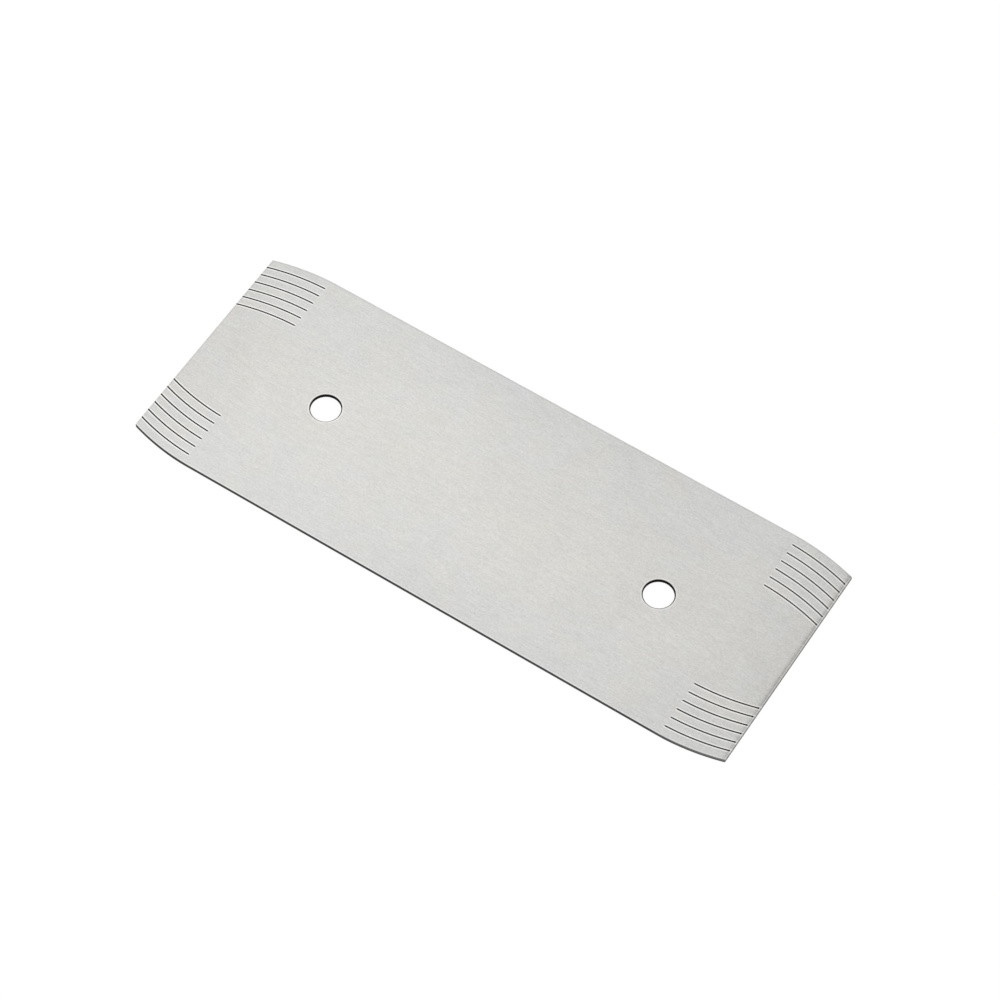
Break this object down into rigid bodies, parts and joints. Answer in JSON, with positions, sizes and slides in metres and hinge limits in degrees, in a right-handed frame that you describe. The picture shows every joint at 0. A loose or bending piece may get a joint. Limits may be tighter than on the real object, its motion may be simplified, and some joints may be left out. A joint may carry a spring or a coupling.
{
  "type": "card scraper",
  "caption": "Thin flat steel card scraper whose long scraping edges ease inwards at the corners, with round hanging holes and engraved guide lines for regrinding the edges.",
  "frame": {"origin": "centre of the underside, half way between the ends and between the long edges", "axes": "+X along the blade, +Y across it towards the rear long edge, +Z through the thickness, out of the face with the guide lines"},
  "size_m": [0.15, 0.0572, 0.0009],
  "materials": {
    "blade_steel": "finely ground satin steel, grain along the blade",
    "line_oxide": "matt dark oxide in the floor of an engraved line"
  },
  "bodies": {
    "root": {"blade": "blade_steel", "guide_lines_rear_left": "line_oxide", "guide_lines_rear_right": "line_oxide", "guide_lines_front_left": "line_oxide", "guide_lines_front_right": "line_oxide"}
  },
  "joints": []
}
